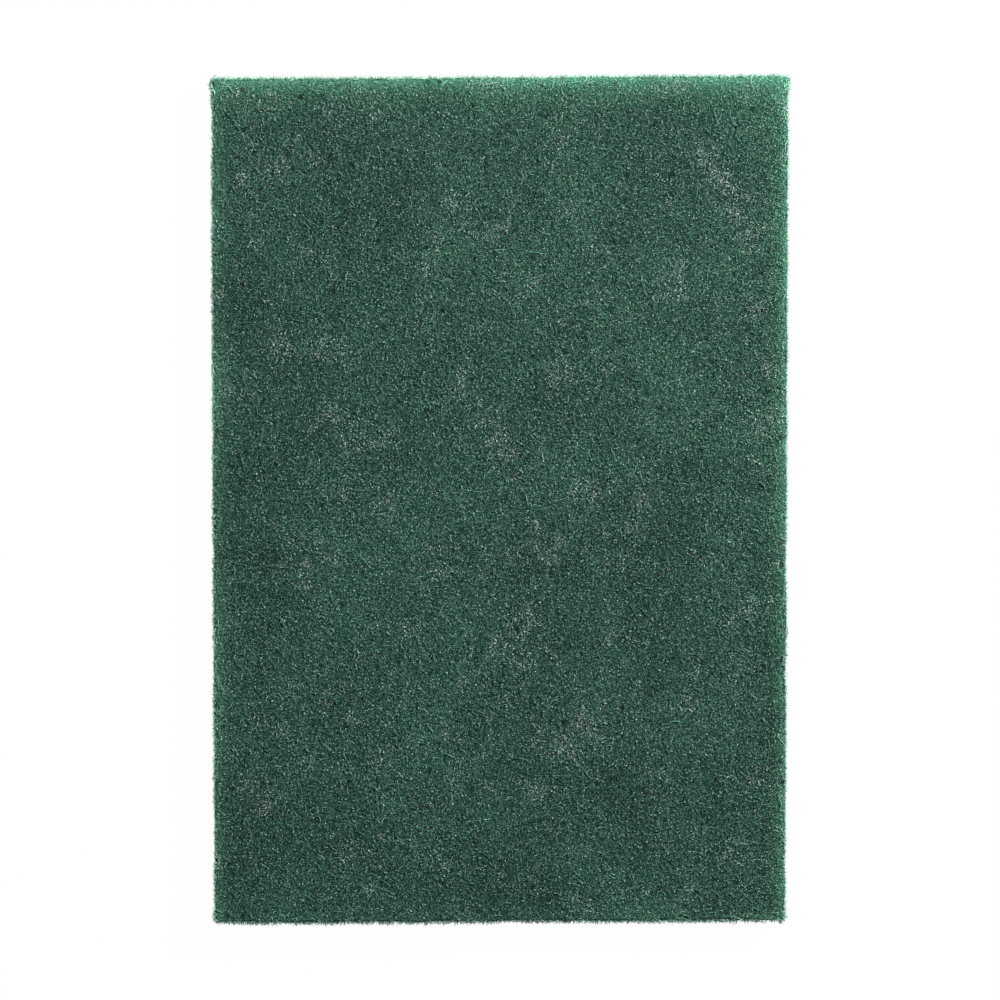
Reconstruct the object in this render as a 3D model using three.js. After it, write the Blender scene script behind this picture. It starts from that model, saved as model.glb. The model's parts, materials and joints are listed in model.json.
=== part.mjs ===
// A nylon scouring pad: one rectangle die-cut from a lofty web of crimped nylon fibres that are
// bonded with resin and fine abrasive. It is a single piece with nothing inside or fixed to it.
//
// Units are millimetres. The pad lies flat with +Z up, X across its width and Y along its length.
// The origin is the middle of the plane that it rests on.

import * as THREE from 'three';
import { ImprovedNoise } from 'three/addons/math/ImprovedNoise.js';
import { mergeVertices } from 'three/addons/utils/BufferGeometryUtils.js';

// The cut rectangle, measured over the proudest fibres.
const WIDTH = 150;
const LENGTH = 221;
const THICKNESS = 8;

// The cutter presses the web down along its rim, so corners and rims are softly round. The round
// takes up this share of the thinnest side at most.
const RIM_RADIUS = 1.8;
const LARGEST_RIM_SHARE = 0.45;

// The two ends are cut parallel, but a little out of square with the sides. Over the pad's width
// they run this far along it.
const END_SLANT = 0.85;

// Hollows between the proud fibres of the two faces, and how far apart they lie.
const HOLLOW_DEPTH = 1.1;
const HOLLOW_SPACING = 15;

// The cutter levels the two faces along their rims. The hollows reach their full depth only this far
// in from there, so the pad rests on the whole of its rim.
const LEVELLED_BAND = 8;

// Nicks between the tufts of the cut sides, and how far apart they lie.
const NICK_DEPTH = 0.8;
const NICK_SPACING = 7;

// The spacing of the surface points that carry this relief.
const NET_SPACING = 5;

// Where the noise is below this value, the web stays level with its proud fibres.
const LEVEL_BELOW = 0.05;

const WEB_GREEN = 0x37584b;

const noise = new ImprovedNoise();
const rim = Math.min(RIM_RADIUS, LARGEST_RIM_SHARE * Math.min(WIDTH, LENGTH, THICKNESS));

// A depth from 0 to 1 that is 0 over the proud fibres and grows into the hollows between them.
function hollowAt(point, spacing) {
  const { x, y, z } = point.clone().divideScalar(spacing);
  const broad = noise.noise(x, y, z);
  const fine = noise.noise(2 * x, 2 * y, 2 * z) / 2;
  return THREE.MathUtils.clamp(broad + fine - LEVEL_BELOW, 0, 1);
}

// Places along one edge of the rectangle: close together in the round of each rim, where the middle
// place is half way round the arc from the flat, and evenly spaced between the rims.
function placesAlong(size) {
  const halfWay = rim * (1 - Math.tan(Math.PI / 8));
  const flat = size - 2 * rim;
  const steps = Math.max(1, Math.round(flat / NET_SPACING));
  const between = Array.from({ length: steps + 1 }, (_, i) => rim + (flat * i) / steps);
  return [0, halfWay, ...between, size - halfWay, size].map((place) => place - size / 2);
}

// How much of its full depth a hollow has at this point of a face: none along the rim.
function depthShare(point, half) {
  const fromRim = Math.min(half.x - Math.abs(point.x), half.y - Math.abs(point.y)) - rim;
  return THREE.MathUtils.clamp(fromRim / LEVELLED_BAND, 0, 1);
}

// Carries a point of the sharp box onto the round-rimmed one. Returns it with its outward normal.
function roundRim(point, half) {
  const core = half.clone().subScalar(rim);
  const anchor = point.clone().clamp(core.clone().negate(), core);
  const normal = point.clone().sub(anchor).normalize();
  return { point: anchor.addScaledVector(normal, rim), normal };
}

function webGeometry() {
  const half = new THREE.Vector3(WIDTH, LENGTH, THICKNESS).divideScalar(2);
  const places = [WIDTH, LENGTH, THICKNESS].map(placesAlong);
  const [across, along, up] = places.map((list) => list.length - 1);
  const geometry = new THREE.BoxGeometry(2, 2, 2, across, along, up);
  const position = geometry.getAttribute('position');
  const start = new THREE.Vector3();

  for (let i = 0; i < position.count; i += 1) {
    start.fromBufferAttribute(position, i);
    start.fromArray(start.toArray().map((unit, axis) => {
      const list = places[axis];
      return list[Math.round(((unit + 1) / 2) * (list.length - 1))];
    }));
    const { point, normal } = roundRim(start, half);

    // The faces sink into hollows, and the sides are nicked. Both only go inwards, so the proud
    // fibres keep to the cut rectangle.
    const faceShare = normal.z ** 2;
    const hollow = HOLLOW_DEPTH * depthShare(point, half) * hollowAt(point, HOLLOW_SPACING);
    const nick = NICK_DEPTH * hollowAt(point, NICK_SPACING);
    const depth = faceShare * hollow + (1 - faceShare) * nick;
    point.addScaledVector(normal, -depth);
    point.y = point.y * (1 - END_SLANT / LENGTH) + (END_SLANT * point.x) / WIDTH;
    position.setXYZ(i, point.x, point.y, point.z + half.z);
  }

  geometry.deleteAttribute('normal');
  geometry.deleteAttribute('uv');
  const merged = mergeVertices(geometry);
  merged.computeVertexNormals();
  return merged;
}

const web = new THREE.Mesh(
  webGeometry(),
  new THREE.MeshStandardMaterial({ color: WEB_GREEN, roughness: 0.75, metalness: 0 }),
);
web.name = 'scouring_pad';

const pad = new THREE.Group();
pad.add(web);

export default pad;
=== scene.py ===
import json
import math

import bpy
import numpy as np
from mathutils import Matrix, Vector
from mathutils.bvhtree import BVHTree

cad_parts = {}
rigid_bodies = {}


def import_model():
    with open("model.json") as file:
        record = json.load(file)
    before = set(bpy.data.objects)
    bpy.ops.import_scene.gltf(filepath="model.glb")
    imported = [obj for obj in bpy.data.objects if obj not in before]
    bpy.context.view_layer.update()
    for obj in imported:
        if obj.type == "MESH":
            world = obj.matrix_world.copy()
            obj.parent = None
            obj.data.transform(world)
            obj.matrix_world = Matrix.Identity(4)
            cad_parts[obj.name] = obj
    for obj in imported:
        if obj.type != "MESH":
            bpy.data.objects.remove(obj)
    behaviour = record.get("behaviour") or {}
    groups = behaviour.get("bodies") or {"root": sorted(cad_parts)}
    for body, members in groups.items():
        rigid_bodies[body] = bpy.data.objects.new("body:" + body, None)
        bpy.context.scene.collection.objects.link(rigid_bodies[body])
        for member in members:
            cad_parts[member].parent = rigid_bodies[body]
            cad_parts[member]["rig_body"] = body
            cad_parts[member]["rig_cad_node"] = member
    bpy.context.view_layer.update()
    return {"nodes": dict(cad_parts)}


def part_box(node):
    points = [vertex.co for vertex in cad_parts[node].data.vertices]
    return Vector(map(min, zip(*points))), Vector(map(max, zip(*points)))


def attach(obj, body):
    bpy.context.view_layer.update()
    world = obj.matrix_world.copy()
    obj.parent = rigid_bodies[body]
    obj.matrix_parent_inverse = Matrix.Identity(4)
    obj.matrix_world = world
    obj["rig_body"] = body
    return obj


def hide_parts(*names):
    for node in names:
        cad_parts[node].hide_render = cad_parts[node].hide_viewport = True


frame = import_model()
pad_low, pad_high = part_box("scouring_pad")


# The tone of the web, with its painted light and shade
# Nylon is dyed green in the melt, and the resin that bonds the pad is sprayed on both faces with its
# fine grit. It dulls the faces unevenly and hardly reaches the cut sides. Its palest grains are painted
# near-white in loose patches: partly pale grit, partly painted glints. Near the cut sides the web is
# painted lighter, as painted light soaking into the open web. Here and there the web is open in a small
# pit, painted dark as painted shade.

# The two ends run this far along the pad over its width, as in the solid.
END_SLANT = 0.00085

# How deep the painted light of the rims reaches in from the rear end and from the other sides, and
# how strongly it shows there.
REAR_SOAK = 0.003
FLANK_SOAK = 0.0015
FLANK_SHARE = 0.85
FRONT_SHARE = 0.3

# The size of a grain and of a pit, how far apart the pits lie, and what share of its tone a pit keeps
# under its painted shade.
GRAIN = 0.00026
PIT_RADIUS = 0.0009
PIT_SPACING = 0.004
PIT_SHADE = 0.35

# How many times the mottling and the glinting patches come and go in a metre.
MOTTLE_SCALE = 34
PATCH_SCALE = 90


def calculated(group, operation, first, second=None, third=None):
    """A Math node on these sockets or numbers. Returns its output."""
    node = group.nodes.new("ShaderNodeMath")
    node.operation = operation
    for socket, value in zip(node.inputs, (first, second, third)):
        if isinstance(value, bpy.types.NodeSocket):
            group.links.new(value, socket)
        elif value is not None:
            socket.default_value = value
    return node.outputs[0]


def noise_of(group, place, scale, detail, roughness=0.5):
    """A noise texture on these coordinates. Returns its value."""
    node = group.nodes.new("ShaderNodeTexNoise")
    node.inputs["Scale"].default_value = scale
    node.inputs["Detail"].default_value = detail
    node.inputs["Roughness"].default_value = roughness
    group.links.new(place, node.inputs["Vector"])
    return node.outputs["Fac"]


def stretched(group, value, low, high, to_low=0, to_high=1):
    """A Map Range node from one range to another, clamped. Returns its output."""
    node = group.nodes.new("ShaderNodeMapRange")
    node.inputs["From Min"].default_value = low
    node.inputs["From Max"].default_value = high
    node.inputs["To Min"].default_value = to_low
    node.inputs["To Max"].default_value = to_high
    group.links.new(value, node.inputs["Value"])
    return node.outputs["Result"]


def blended(group, share, first, second):
    """A colour between two colours or sockets. Returns its output."""
    node = group.nodes.new("ShaderNodeMix")
    node.data_type = "RGBA"
    sockets = {s.identifier: s for s in node.inputs}
    group.links.new(share, sockets["Factor_Float"])
    for name, colour in (("A_Color", first), ("B_Color", second)):
        if isinstance(colour, bpy.types.NodeSocket):
            group.links.new(colour, sockets[name])
        else:
            sockets[name].default_value = colour
    return next(s for s in node.outputs if s.identifier == "Result_Color")


def cells_of(group, place, size):
    """Cells of this size: the distance from each one's middle, and two random values for each."""
    cells = group.nodes.new("ShaderNodeTexVoronoi")
    cells.inputs["Scale"].default_value = 1 / size
    group.links.new(place, cells.inputs["Vector"])
    channels = group.nodes.new("ShaderNodeSeparateColor")
    group.links.new(cells.outputs["Color"], channels.inputs["Color"])
    return cells.outputs["Distance"], channels.outputs["Red"], channels.outputs["Green"]


def scaled(group, colour, factor):
    """A colour times a factor. Returns its output."""
    node = group.nodes.new("ShaderNodeVectorMath")
    node.operation = "SCALE"
    group.links.new(colour, node.inputs[0])
    group.links.new(factor, node.inputs["Scale"])
    return node.outputs["Vector"]


def fading(group, distance, soak, share):
    """A mask that has this share at distance 0 and fades away over the soak."""
    faded = calculated(group, "EXPONENT", calculated(group, "MULTIPLY", distance, -1 / soak))
    return calculated(group, "MULTIPLY", faded, share)


def rim_light_mask(group, place):
    """The painted light of the rims, for light that soaks in at the rear end, the front end and the long
    sides.
    """
    axes = group.nodes.new("ShaderNodeSeparateXYZ")
    group.links.new(place, axes.inputs["Vector"])
    slant = calculated(group, "MULTIPLY", axes.outputs["X"], -END_SLANT / (pad_high.x - pad_low.x))
    along = calculated(group, "ADD", axes.outputs["Y"], slant)
    half_length = pad_high.y - END_SLANT / 2
    rear = fading(group, calculated(group, "SUBTRACT", half_length, along), REAR_SOAK, 1)
    front = fading(group, calculated(group, "ADD", along, half_length), FLANK_SOAK, FRONT_SHARE)
    sideways = calculated(group, "ABSOLUTE", axes.outputs["X"])
    flank = fading(group, calculated(group, "SUBTRACT", pad_high.x, sideways), FLANK_SOAK, FLANK_SHARE)
    ends = calculated(group, "ADD", rear, front)
    return stretched(group, calculated(group, "ADD", ends, flank), 0, 1)


def tone_group():
    """The node group of the web's tone, with its painted rim light, glints and pit shade, which each of its
    materials uses with its own colours.
    """
    group = bpy.data.node_groups.new("web_tone_and_painted_light", "ShaderNodeTree")
    for name in ("Dark", "Light", "Rim_Light", "Grit_Glint"):
        group.interface.new_socket(name, in_out="INPUT", socket_type="NodeSocketColor")
    group.interface.new_socket("Color", in_out="OUTPUT", socket_type="NodeSocketColor")
    group.interface.new_socket("Patches", in_out="OUTPUT", socket_type="NodeSocketFloat")
    taken = group.nodes.new("NodeGroupInput")
    given = group.nodes.new("NodeGroupOutput")
    place = group.nodes.new("ShaderNodeTexCoord").outputs["Object"]

    # Each grain has its own shade: the dark ones are a deep green and the light ones greyer.
    _, lightness, paleness = cells_of(group, place, GRAIN)
    lightness = calculated(group, "POWER", lightness, 2)
    grains = blended(group, lightness, taken.outputs["Dark"], taken.outputs["Light"])
    # Near the cut sides the grains are painted lighter and greener: painted light soaking into the open
    # web.
    rim_lit_grains = scaled(group, taken.outputs["Rim_Light"], stretched(group, lightness, 0, 1, 0.75, 1.5))
    rim_lit = blended(group, rim_light_mask(group, place), grains, rim_lit_grains)

    # Broad mottling, and the pits, which are darkened as painted shade.
    mottle = stretched(group, noise_of(group, place, MOTTLE_SCALE, 6, 0.7), 0.36, 0.64, 1.2, 0.8)
    pit_distance, pit_chance, _ = cells_of(group, place, PIT_SPACING)
    pit_size = PIT_RADIUS / PIT_SPACING
    pit_shade_edge = stretched(group, pit_distance, pit_size / 2, pit_size, PIT_SHADE, 1)
    pit_shading = calculated(group, "MAXIMUM", pit_shade_edge, stretched(group, pit_chance, 0.4, 0.6))
    shaded = scaled(group, rim_lit, calculated(group, "MULTIPLY", mottle, pit_shading))

    # The palest grains are painted near-white as glints, partly pale grit and partly painted highlight, and
    # more of them are in the patches.
    patches = stretched(group, noise_of(group, place, PATCH_SCALE, 4, 0.65), 0.56, 0.68)
    glint = stretched(group, calculated(group, "MULTIPLY_ADD", patches, 0.15, paleness), 0.95, 0.98)
    group.links.new(blended(group, glint, shaded, taken.outputs["Grit_Glint"]), given.inputs["Color"])
    group.links.new(patches, given.inputs["Patches"])
    return group


web_tone_and_painted_light = tone_group()


def srgb(red, green, blue):
    """A colour as 0 to 255 on the screen, made linear, with full alpha."""
    shares = (red / 255, green / 255, blue / 255)
    return (*(s / 12.92 if s < 0.04 else ((s + 0.055) / 1.055) ** 2.4 for s in shares), 1)


def toned(material, dark, light, rim_light, grit_glint):
    """Adds the web's tone to a material, with the colours of its dark and light grains, of the painted
    light of its rims, and of its palest grains and their painted glints. Returns its outputs."""
    tone = material.node_tree.nodes.new("ShaderNodeGroup")
    tone.node_tree = web_tone_and_painted_light
    for name, colour in (("Dark", dark), ("Light", light), ("Rim_Light", rim_light), ("Grit_Glint", grit_glint)):
        tone.inputs[name].default_value = colour
    return tone.outputs


# The deep web
# The inner layers of the pad are the same nonwoven nylon, too dense to see through. They keep the
# solid's outline and hollows, and lie a little under the proud fibres of the next sections.

# How deep it lies under the solid's faces, and how much deeper its lumps go.
WEB_DEPTH = 0.0005
WEB_UNEVEN = 0.0005
LUMP_SIZE = 0.004

# How far it is spread to its sides, and how far the two ends fray out past the solid.
SIDE_GROWTH = 0.0005
END_FRAY = 0.0005

bpy.ops.object.select_all(action="DESELECT")
frame["nodes"]["scouring_pad"].select_set(True)
bpy.context.view_layer.objects.active = frame["nodes"]["scouring_pad"]
bpy.ops.object.duplicate()
deep_web = bpy.context.active_object
deep_web.name = "deep_web"
deep_web.data.name = "deep_web"
deep_web.parent = None
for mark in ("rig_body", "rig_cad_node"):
    del deep_web[mark]
bpy.ops.object.mode_set(mode="EDIT")
bpy.ops.mesh.select_all(action="SELECT")
bpy.ops.mesh.remove_doubles(threshold=1e-6)
bpy.ops.mesh.subdivide(number_cuts=1, smoothness=0)
bpy.ops.object.mode_set(mode="OBJECT")

sunk = deep_web.modifiers.new("sunk", "DISPLACE")
sunk.strength = -WEB_DEPTH
sunk.mid_level = 0
lumps = bpy.data.textures.new("lumps", "CLOUDS")
lumps.noise_scale = LUMP_SIZE
uneven = deep_web.modifiers.new("uneven", "DISPLACE")
uneven.texture = lumps
uneven.strength = WEB_UNEVEN
uneven.mid_level = 1
for modifier in ("sunk", "uneven"):
    bpy.ops.object.modifier_apply(modifier=modifier)
bpy.ops.object.mode_set(mode="EDIT")
bpy.ops.mesh.select_all(action="SELECT")
growth = (1 + SIDE_GROWTH / pad_high.x, 1 + (SIDE_GROWTH + END_FRAY / 2) / pad_high.y, 1)
bpy.ops.transform.resize(value=growth, center_override=(0, 0, 0))
bpy.ops.object.mode_set(mode="OBJECT")
bpy.ops.object.shade_smooth()

# Its material shows the strands that lie too deep to be modelled: three nets of wavy lines, each
# dimmer than the one above it as painted shade, with dark hollows of painted shade between them. These
# are the size of their waves, the breadth of a line in steps of the noise, and how far the lines stand out.
NET_SPACING = 0.00055
NET_LINE = 0.07
NET_RELIEF = 0.0003

deep_shaded_green = bpy.data.materials.new("deep_shaded_green")
deep_shaded_green.use_nodes = True
deep_tree = deep_shaded_green.node_tree
deep_shader = deep_tree.nodes["Principled BSDF"]
deep_shader.inputs["Roughness"].default_value = 0.6
deep_shader.inputs["Specular IOR Level"].default_value = 0.12
deep_place = deep_tree.nodes.new("ShaderNodeTexCoord").outputs["Object"]
waves = deep_tree.nodes.new("ShaderNodeTexNoise")
waves.inputs["Scale"].default_value = 1 / NET_SPACING
waves.inputs["Detail"].default_value = 2
deep_tree.links.new(deep_place, waves.inputs["Vector"])
layers = deep_tree.nodes.new("ShaderNodeSeparateColor")
deep_tree.links.new(waves.outputs["Color"], layers.inputs["Color"])
net = None
for layer, share in (("Red", 1), ("Green", 0.75), ("Blue", 0.5)):
    offset = calculated(deep_tree, "SUBTRACT", layers.outputs[layer], 0.5)
    lines = stretched(deep_tree, calculated(deep_tree, "ABSOLUTE", offset), 0, NET_LINE, share, 0)
    net = lines if net is None else calculated(deep_tree, "MAXIMUM", net, lines)
# Darker than the proud fibres: painted shade of the depth, and darkest in the hollows.
shaded_strand_tones = (srgb(17, 61, 45), srgb(114, 165, 143), srgb(112, 198, 162), srgb(176, 198, 187))
shaded_deep_strands = toned(deep_shaded_green, *shaded_strand_tones)["Color"]
hollow_shade_tones = (srgb(4, 25, 17), srgb(22, 51, 39), srgb(54, 112, 88), srgb(60, 74, 67))
painted_hollow_shade = toned(deep_shaded_green, *hollow_shade_tones)["Color"]
deep_tree.links.new(blended(deep_tree, net, painted_hollow_shade, shaded_deep_strands), deep_shader.inputs["Base Color"])
deep_bump = deep_tree.nodes.new("ShaderNodeBump")
deep_bump.inputs["Distance"].default_value = NET_RELIEF
deep_tree.links.new(net, deep_bump.inputs["Height"])
deep_tree.links.new(deep_bump.outputs["Normal"], deep_shader.inputs["Normal"])
deep_web.data.materials.clear()
deep_web.data.materials.append(deep_shaded_green)
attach(deep_web, "root")
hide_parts("scouring_pad")


# The proud fibres of the two faces
# Crimped nylon staple, carded and needled into layers that lie flat, and bonded where the strands
# cross. Each strand weaves up and down through its layer, and the cutter ends it at the sides.

# A long strand is this many points with this step between them. Its bends have this curvature and
# hold over this length.
STRAND_STEPS = 9
STEP = 0.0011
CURL = 420
CURL_LENGTH = 0.0014
FIBRE_RADIUS = 0.00012

# The two ends of a long strand dip this much deeper. At the cut sides the strands end unevenly, and
# this share of them is loose and reaches further out.
END_DIP = 0.0007
FRAY = 0.00022
LOOSE_SHARE = 0.1
LOOSE_REACH = 0.0003

# A crest's length and bow, and how deep under the surface its summit and its ends lie.
CREST_LENGTH = 0.0014
CREST_BOW = 0.0003
CREST_DEPTH = (0.00018, 0.0007)
END_DEPTH = (0.001, 0.0014)

# The palest crests carry a bead of resin, which makes them thicker.
BEADED_SHADE = 0.93
BEAD_SIZE = 1.7

# The spacing of the grids that carry the solid's shape, and how far they reach round it. The extra
# fray of the two ends starts this far in from them.
GRID = 0.001
MARGIN = 0.004
END_BAND = 0.003

solid_mesh = frame["nodes"]["scouring_pad"].data
solid = BVHTree.FromPolygons([v.co for v in solid_mesh.vertices], [p.vertices for p in solid_mesh.polygons])
middle = (pad_low.z + pad_high.z) / 2
grid_x = np.arange(pad_low.x - MARGIN, pad_high.x + MARGIN + GRID, GRID)
grid_y = np.arange(pad_low.y - MARGIN, pad_high.y + MARGIN + GRID, GRID)


def outside_by(x, y):
    """How far a place in plan lies outside the cut sides, or inside them where it is negative."""
    near, normal, _, distance = solid.find_nearest(Vector((x, y, middle)))
    away = (Vector((x, y, middle)) - near).dot(normal)
    return math.copysign(distance, away)


face_heights = {
    level: np.array([[solid.find_nearest(Vector((x, y, level)))[0].z for y in grid_y] for x in grid_x])
    for level in (pad_low.z, pad_high.z)
}
cut_sides = np.array([[outside_by(x, y) for y in grid_y] for x in grid_x])

# The two ends are cut across the grain of the web, so they fray a little further out than its sides.
cut_sides -= END_FRAY * (np.abs(grid_y) > pad_high.y - END_BAND)


def sampled(grid, x, y):
    """Values of one of the grids above at places in plan."""
    across = np.clip((x - grid_x[0]) / GRID, 0, len(grid_x) - 1.001)
    along = np.clip((y - grid_y[0]) / GRID, 0, len(grid_y) - 1.001)
    i, j = across.astype(int), along.astype(int)
    u, v = across - i, along - j
    near = grid[i, j] * (1 - v) + grid[i, j + 1] * v
    far = grid[i + 1, j] * (1 - v) + grid[i + 1, j + 1] * v
    return near * (1 - u) + far * u


# The material of every strand. Each has its own shade, the palest are greyer, and the pale ones in
# the glinting patches are painted near-white: partly a coat of resin, partly a painted glint.
GLOSS_SCALE = 130
CRUST_SCALE = 2800
CRUST_DEPTH = 0.0002

strand_green = bpy.data.materials.new("strand_green")
strand_green.use_nodes = True
strand_tree = strand_green.node_tree
strand_shader = strand_tree.nodes["Principled BSDF"]
strand_place = strand_tree.nodes.new("ShaderNodeTexCoord").outputs["Object"]
# The third colour is the painted rim light, the fourth the pale grit with its painted glints.
proud_tones = (srgb(36, 103, 79), srgb(124, 186, 161), srgb(176, 242, 212), srgb(236, 246, 240))
strand_tone = toned(strand_green, *proud_tones)
own_shade = strand_tree.nodes.new("ShaderNodeAttribute")
own_shade.attribute_name = "strand_shade"
strength = stretched(strand_tree, own_shade.outputs["Fac"], -0.5, 0.8, 0.05, 1.38)
own_green = scaled(strand_tree, strand_tone["Color"], strength)
paler = stretched(strand_tree, own_shade.outputs["Fac"], 0.75, 1, 0, 0.65)
paled_green = blended(strand_tree, paler, own_green, srgb(186, 222, 205))
# Painted near-white in the patches: partly resin, partly a painted glint.
resin_glint_chance = stretched(strand_tree, own_shade.outputs["Fac"], 0.72, 0.8)
resin_glint_share = calculated(strand_tree, "MULTIPLY", resin_glint_chance, strand_tone["Patches"])
resin_glint_green = blended(strand_tree, resin_glint_share, paled_green, srgb(236, 246, 241))
strand_tree.links.new(resin_glint_green, strand_shader.inputs["Base Color"])
strand_shader.inputs["Specular IOR Level"].default_value = 0.5
glossy = noise_of(strand_tree, strand_place, GLOSS_SCALE, 3, 0.6)
sheen = stretched(strand_tree, glossy, 0.4, 0.65, 0.42, 0.16)
strand_tree.links.new(sheen, strand_shader.inputs["Roughness"])
crust = noise_of(strand_tree, strand_place, CRUST_SCALE, 2)
strand_bump = strand_tree.nodes.new("ShaderNodeBump")
strand_bump.inputs["Distance"].default_value = CRUST_DEPTH
strand_tree.links.new(crust, strand_bump.inputs["Height"])
strand_tree.links.new(strand_bump.outputs["Normal"], strand_shader.inputs["Normal"])


def crimped_lines(rng, starts):
    """Lines in plan from these starts, which curl to and fro as crimped fibre does."""
    kept = math.exp(-STEP / CURL_LENGTH)
    fresh = math.sqrt(1 - kept ** 2)
    heading = rng.uniform(0, 2 * math.pi, len(starts))
    curl = rng.normal(0, CURL, len(starts))
    lines = np.empty((len(starts), STRAND_STEPS, 2))
    place = starts.copy()
    for k in range(STRAND_STEPS):
        lines[:, k] = place
        curl = kept * curl + fresh * rng.normal(0, CURL, len(starts))
        heading += curl * STEP
        place = place + STEP * np.stack([np.cos(heading), np.sin(heading)], 1)
    return lines


def runs_inside(inside, shortest=4):
    """The first and last place of each unbroken run of at least this many points, for every line."""
    edges = np.diff(np.pad(inside, ((0, 0), (1, 1))).astype(int), axis=1)
    firsts, lasts = np.argwhere(edges == 1), np.argwhere(edges == -1)
    return [(row, a, b) for (row, a), (_, b) in zip(firsts, lasts) if b - a >= shortest]


def three_corners(points, radii, sideways, upwards):
    """Three corners round each of these points, in the plane of its two directions."""
    turns = 2 * np.pi * np.arange(3) / 3 + np.pi / 2
    ring = np.cos(turns)[:, None] * sideways[:, None] + np.sin(turns)[:, None] * upwards[:, None]
    return points[:, None] + radii[:, None, None] * ring


def strand_piece(name, corners, faces, shades):
    """A piece made of strands, with their shades, a map for baking, their material and its tags."""
    mesh = bpy.data.meshes.new(name)
    mesh.from_pydata(corners.tolist(), [], [face for group in faces for face in group.tolist()])
    mesh.shade_smooth()
    piece = bpy.data.objects.new(name, mesh)
    bpy.context.scene.collection.objects.link(piece)
    own_shades = mesh.attributes.new("strand_shade", "FLOAT", "POINT")
    own_shades.data.foreach_set("value", shades.astype(np.float32))
    corner_vertices = np.empty(len(mesh.loops), np.int32)
    mesh.loops.foreach_get("vertex_index", corner_vertices)
    plan = (corners[:, :2] - grid_y[0]) / (grid_y[-1] - grid_y[0])
    bake_map = mesh.uv_layers.new(name="OFBake")
    bake_map.uv.foreach_set("vector", plan[corner_vertices].ravel().astype(np.float32))
    mesh.materials.append(strand_green)
    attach(piece, "root")


def spun(name, rng, lines, inside):
    """One piece of three-sided strands along the parts of these lines that lie inside the pad."""
    runs = runs_inside(inside)
    lengths = np.array([last - first for _, first, last in runs])
    points = np.concatenate([lines[row, first:last] for row, first, last in runs])
    directions = np.concatenate([np.gradient(lines[row, first:last], axis=0) for row, first, last in runs])
    directions /= np.linalg.norm(directions, axis=1)[:, None]
    sideways = np.cross(directions, (0, 0, 1))
    sideways /= np.linalg.norm(sideways, axis=1)[:, None]
    upwards = np.cross(sideways, directions)
    radii = FIBRE_RADIUS * np.repeat(rng.uniform(0.6, 0.9, len(runs)), lengths)
    radii *= rng.uniform(0.65, 1.35, len(points))

    # Each point gets a ring of three corners, and each ring joins the next one of its strand.
    corners = three_corners(points, radii, sideways, upwards).reshape(-1, 3)
    ends = np.cumsum(lengths) - 1
    beginnings = ends - lengths + 1
    joined = 3 * np.setdiff1d(np.arange(len(points)), ends)
    sides = ((0, 1), (1, 2), (2, 0))
    walls = [np.stack([joined + a, joined + 3 + a, joined + 3 + b, joined + b], 1) for a, b in sides]
    caps = [3 * beginnings[:, None] + (0, 1, 2), 3 * ends[:, None] + (2, 1, 0)]
    own = np.repeat(rng.uniform(-0.3, 0.5, len(runs)), lengths) + rng.uniform(0, 0.3, len(points))
    strand_piece(name, corners, walls + caps, np.repeat(own, 3))


def scattered(rng, count, reach):
    """About this many places in plan, spread evenly over the pad and this far round it."""
    width, length = pad_high.x - pad_low.x + 2 * reach, pad_high.y - pad_low.y + 2 * reach
    cell = math.sqrt(width * length / count)
    across, along = np.meshgrid(np.arange(0, width, cell), np.arange(0, length, cell))
    corner = np.array([pad_low.x - reach, pad_low.y - reach])
    places = np.stack([across.ravel(), along.ravel()], 1)
    return corner + places + rng.uniform(0, cell, places.shape)


def face_layer(name, seed, count, level, shallow, deep):
    """One layer of strands near the face at this level, between these two depths under its surface."""
    rng = np.random.default_rng(seed)
    plan = crimped_lines(rng, scattered(rng, count, MARGIN))
    strands = len(plan)
    x, y = plan[:, :, 0], plan[:, :, 1]
    depth = rng.uniform(shallow, deep, x.shape)
    depth[:, [0, -1]] += END_DIP
    inward = math.copysign(1, middle - level)
    z = sampled(face_heights[level], x, y) + inward * depth
    fray = rng.normal(0, FRAY, strands)[:, None]
    fray += LOOSE_REACH * (rng.uniform(size=(strands, 1)) < LOOSE_SHARE)
    spun(name, rng, np.stack([x, y, z], 2), sampled(cut_sides, x, y) < fray)


def spindles(name, first_ends, summits, last_ends, radii, shades):
    """One piece of short bits of strand. Each has two pointed ends and three corners at its summit."""
    forward = last_ends[:, :2] - first_ends[:, :2]
    forward /= np.linalg.norm(forward, axis=1)[:, None]
    across = np.column_stack([-forward[:, 1], forward[:, 0], np.zeros(len(forward))])
    upwards = np.broadcast_to((0, 0, 1), across.shape)
    ring = three_corners(summits, radii, across, upwards)
    corners = np.concatenate([first_ends[:, None], ring, last_ends[:, None]], 1).reshape(-1, 3)
    first = 5 * np.arange(len(radii))[:, None]
    sides = ((1, 2), (2, 3), (3, 1))
    faces = [first + (0, b, a) for a, b in sides] + [first + (4, a, b) for a, b in sides]
    strand_piece(name, corners, faces, np.repeat(shades, 5))


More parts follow.
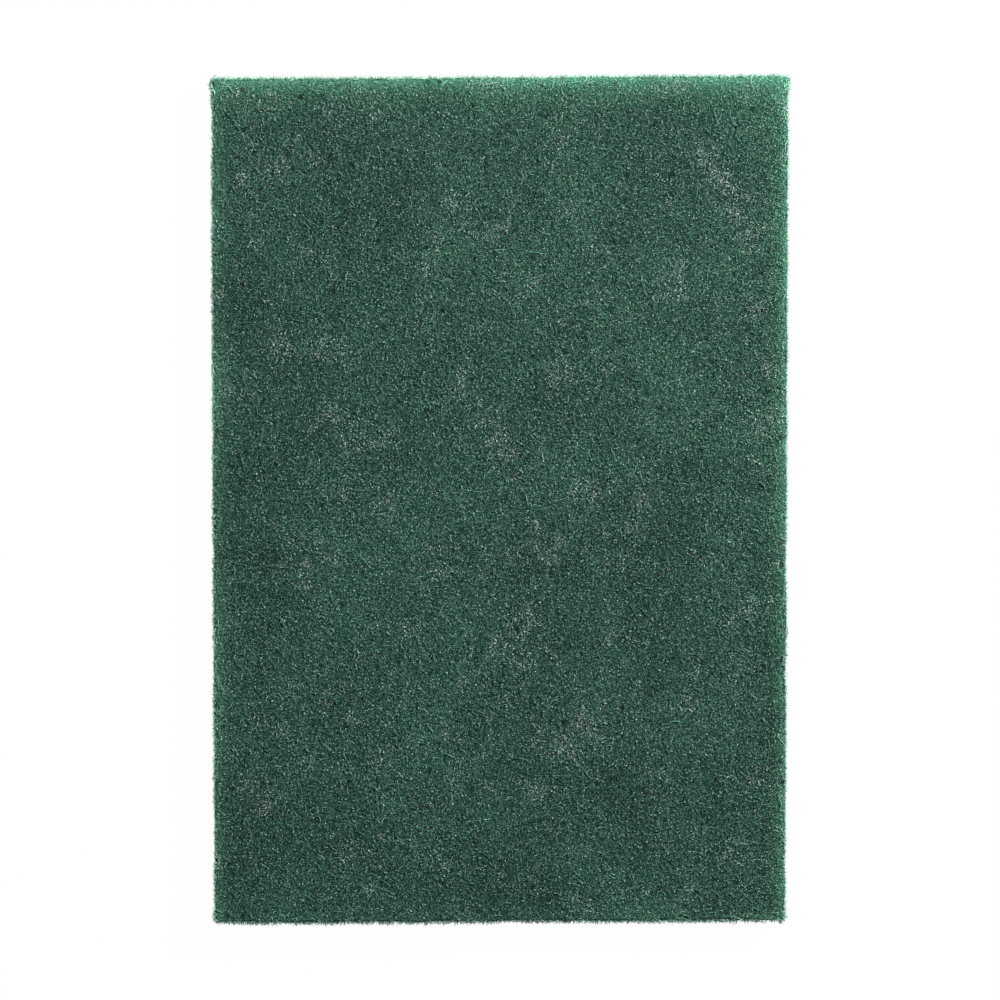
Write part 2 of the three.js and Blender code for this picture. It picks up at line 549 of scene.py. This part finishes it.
def crests(name, seed, count, level):
    """The crests of strands that come up through the face at this level and go down again. Each is
    bowed, and its two ends lie hidden in the deep web."""
    rng = np.random.default_rng(seed)
    tops = scattered(rng, count, 0.001)
    tops = tops[sampled(cut_sides, tops[:, 0], tops[:, 1]) < 0]
    heading = rng.uniform(0, 2 * math.pi, len(tops))
    forward = np.stack([np.cos(heading), np.sin(heading)], 1)
    half_way = forward * rng.uniform(0.5, 1, len(tops))[:, None] * CREST_LENGTH / 2
    bow = np.stack([-forward[:, 1], forward[:, 0]], 1) * rng.normal(0, CREST_BOW, len(tops))[:, None]
    inward = math.copysign(1, middle - level)

    def placed(plan, shallow, deep):
        depth = rng.uniform(shallow, deep, len(plan))
        heights = sampled(face_heights[level], plan[:, 0], plan[:, 1]) + inward * depth
        return np.column_stack([plan, heights])

    summits = placed(tops + bow, *CREST_DEPTH)
    first_ends = placed(tops - half_way, *END_DEPTH)
    last_ends = placed(tops + half_way, *END_DEPTH)
    radii = FIBRE_RADIUS * rng.uniform(0.35, 0.8, len(tops))
    shades = rng.uniform(0, 1, len(tops))
    radii *= np.where(shades > BEADED_SHADE, BEAD_SIZE, 1)
    spindles(name, first_ends, summits, last_ends, radii, shades)


face_layer("top_fibres", seed=11, count=1900, level=pad_high.z, shallow=0.0003, deep=0.0012)
for number in (1, 2, 3):
    crests(f"top_crests_{number}", seed=40 + number, count=32600, level=pad_high.z)
face_layer("under_fibres", seed=21, count=700, level=pad_low.z, shallow=0.0004, deep=0.0013)
crests("under_crests", seed=50, count=15500, level=pad_low.z)


# The fibres of the cut sides
# Where the cutter went through the web, the ends of its layered strands show, and short loops of them
# stand out as a fine fray. They carry little resin, and their lightness near the cut is painted light.

# The long strands lie in this band behind the cut, and all keep this far from the two faces.
SIDE_BAND = 0.0025
FACE_CLEARANCE = 0.0003

# A tuft's root lies this deep behind the cut. Its tip stands out by about this much, varies by this
# reach on the long sides and the two ends, and lies up to this far to one side.
TUFT_ROOT = (0.0006, 0.0012)
TUFT_TIP = 0.0001
FLANK_REACH = 0.00022
END_REACH = 0.00028
TUFT_TURN = 0.0008


def round_the_pad(rng, count):
    """Random places on the pad's rectangle in plan, and the outward direction at each."""
    width, length = pad_high.x - pad_low.x, pad_high.y - pad_low.y
    along = rng.uniform(0, width + length, count)
    across_end = along < width
    side = rng.choice([-1, 1], count)
    x = np.where(across_end, pad_low.x + along, side * pad_high.x)
    y = np.where(across_end, side * pad_high.y, pad_low.y + along - width)
    outward = np.stack([np.where(across_end, 0, side), np.where(across_end, side, 0)], 1)
    return np.stack([x, y], 1), outward


def between_faces(x, y, share):
    """The height at this share of the way from the lower face to the upper one."""
    low = sampled(face_heights[pad_low.z], x, y) + FACE_CLEARANCE
    high = sampled(face_heights[pad_high.z], x, y) - FACE_CLEARANCE
    return low + share * (high - low)


def side_layer(name, seed, count):
    """The long strands just behind the cut sides. Each stays near one level of the web."""
    rng = np.random.default_rng(seed)
    places, outward = round_the_pad(rng, count)
    plan = crimped_lines(rng, places - rng.uniform(0, SIDE_BAND, count)[:, None] * outward)
    x, y = plan[:, :, 0], plan[:, :, 1]
    level = rng.uniform(0, 1, count)[:, None] + rng.normal(0, 0.08, x.shape)
    z = between_faces(x, y, np.clip(level, 0, 1))
    outside = sampled(cut_sides, x, y)
    fray = rng.normal(0, FRAY, count)[:, None]
    inside = (outside < fray) & (outside > -SIDE_BAND)
    spun(name, rng, np.stack([x, y, z], 2), inside)


def side_tufts(name, seed, count):
    """The cut ends of strands. They start inside the web and stand out of the cut sides."""
    rng = np.random.default_rng(seed)
    places, outward = round_the_pad(rng, count)
    sideways = np.stack([-outward[:, 1], outward[:, 0]], 1)
    inset = sampled(cut_sides, places[:, 0], places[:, 1])[:, None]
    cut = places - inset * outward
    root = cut - rng.uniform(*TUFT_ROOT, count)[:, None] * outward
    reach = np.where(outward[:, 1] == 0, FLANK_REACH, END_REACH)
    tip = cut + (TUFT_TIP + reach * rng.normal(0, 1, count))[:, None] * outward
    tip += rng.uniform(-TUFT_TURN, TUFT_TURN, count)[:, None] * sideways
    summit = 0.4 * root + 0.6 * tip + rng.normal(0, CREST_BOW, count)[:, None] * sideways
    share = rng.uniform(0, 1, count)

    def placed(plan):
        level = np.clip(share + rng.normal(0, 0.05, count), 0, 1)
        return np.column_stack([plan, between_faces(root[:, 0], root[:, 1], level)])

    radii = FIBRE_RADIUS * rng.uniform(0.7, 1.3, count)
    ends_and_summits = (placed(root), placed(summit), placed(tip))
    spindles(name, *ends_and_summits, radii, rng.uniform(-0.2, 0.6, count))


side_layer("side_fibres", seed=31, count=3600)
side_tufts("side_tufts", seed=32, count=22000)


# The floor, the lamp and the camera
# A pale floor under a soft sky, with one broad lamp high behind the pad and to its right. The camera
# looks almost straight down, from a little behind the middle, which narrows the pad towards its front.
FLOOR_SIDE = 3

bpy.ops.object.select_all(action="DESELECT")
bpy.ops.mesh.primitive_plane_add(size=FLOOR_SIDE, location=(0, 0, 0))
floor = bpy.context.active_object
floor.name = "floor"
paper = bpy.data.materials.new("white_paper")
paper.use_nodes = True
paper_nodes, paper_link = paper.node_tree.nodes, paper.node_tree.links.new
paper_shader = paper_nodes["Principled BSDF"]
paper_shader.inputs["Base Color"].default_value = (0.8, 0.8, 0.8, 1)
paper_shader.inputs["Roughness"].default_value = 0.9
paper_glow = paper_nodes.new("ShaderNodeEmission")
paper_glow.inputs["Strength"].default_value = 1
rays = paper_nodes.new("ShaderNodeLightPath")
seen = paper_nodes.new("ShaderNodeMath")
seen.operation = "MULTIPLY"
seen.inputs[1].default_value = 0.985
paper_link(rays.outputs["Is Camera Ray"], seen.inputs[0])
paper_mix = paper_nodes.new("ShaderNodeMixShader")
paper_link(seen.outputs[0], paper_mix.inputs["Fac"])
paper_link(paper_shader.outputs[0], paper_mix.inputs[1])
paper_link(paper_glow.outputs[0], paper_mix.inputs[2])
paper_link(paper_mix.outputs[0], paper_nodes["Material Output"].inputs["Surface"])
floor.data.materials.append(paper)

sky = bpy.data.worlds.new("soft_sky")
bpy.context.scene.world = sky
sky.use_nodes = True
sky_nodes, sky_link = sky.node_tree.nodes, sky.node_tree.links.new
sky_light = sky_nodes["Background"]
sky_light.inputs["Color"].default_value = (1, 1, 1, 1)
sky_light.inputs["Strength"].default_value = 0.28
sky_seen = sky_nodes.new("ShaderNodeBackground")
sky_seen.inputs["Strength"].default_value = 1
sky_rays = sky_nodes.new("ShaderNodeLightPath")
sky_mix = sky_nodes.new("ShaderNodeMixShader")
sky_link(sky_rays.outputs["Is Camera Ray"], sky_mix.inputs["Fac"])
sky_link(sky_light.outputs[0], sky_mix.inputs[1])
sky_link(sky_seen.outputs[0], sky_mix.inputs[2])
sky_link(sky_mix.outputs[0], sky_nodes["World Output"].inputs["Surface"])

lamp_data = bpy.data.lights.new("rear_lamp", "AREA")
lamp_data.shape = "RECTANGLE"
lamp_data.size = 0.3
lamp_data.size_y = 0.2
lamp_data.energy = 11.6
rear_lamp = bpy.data.objects.new("rear_lamp", lamp_data)
bpy.context.scene.collection.objects.link(rear_lamp)
rear_lamp.location = (0.5, 0.4, 0.42)
rear_lamp.rotation_euler = (Vector((0, 0, 0)) - rear_lamp.location).to_track_quat("-Z", "Y").to_euler()

# The width that the picture takes in at the pad's top, the lean of the camera, and how far behind the
# pad's middle it aims.
FRAME_WIDTH = 0.2602
LEAN = math.radians(2.4)
AIM = 0.0007

camera_data = bpy.data.cameras.new("camera")
camera_data.lens = 100
camera_data.sensor_width = 36
camera_data.sensor_fit = "HORIZONTAL"
camera = bpy.data.objects.new("camera", camera_data)
bpy.context.scene.collection.objects.link(camera)
distance = FRAME_WIDTH * camera_data.lens / camera_data.sensor_width
camera.location = (0, AIM + distance * math.sin(LEAN), pad_high.z + distance * math.cos(LEAN))
camera.rotation_euler = (-LEAN, 0, 0)
bpy.context.scene.camera = camera
bpy.context.scene.view_settings.view_transform = "Standard"
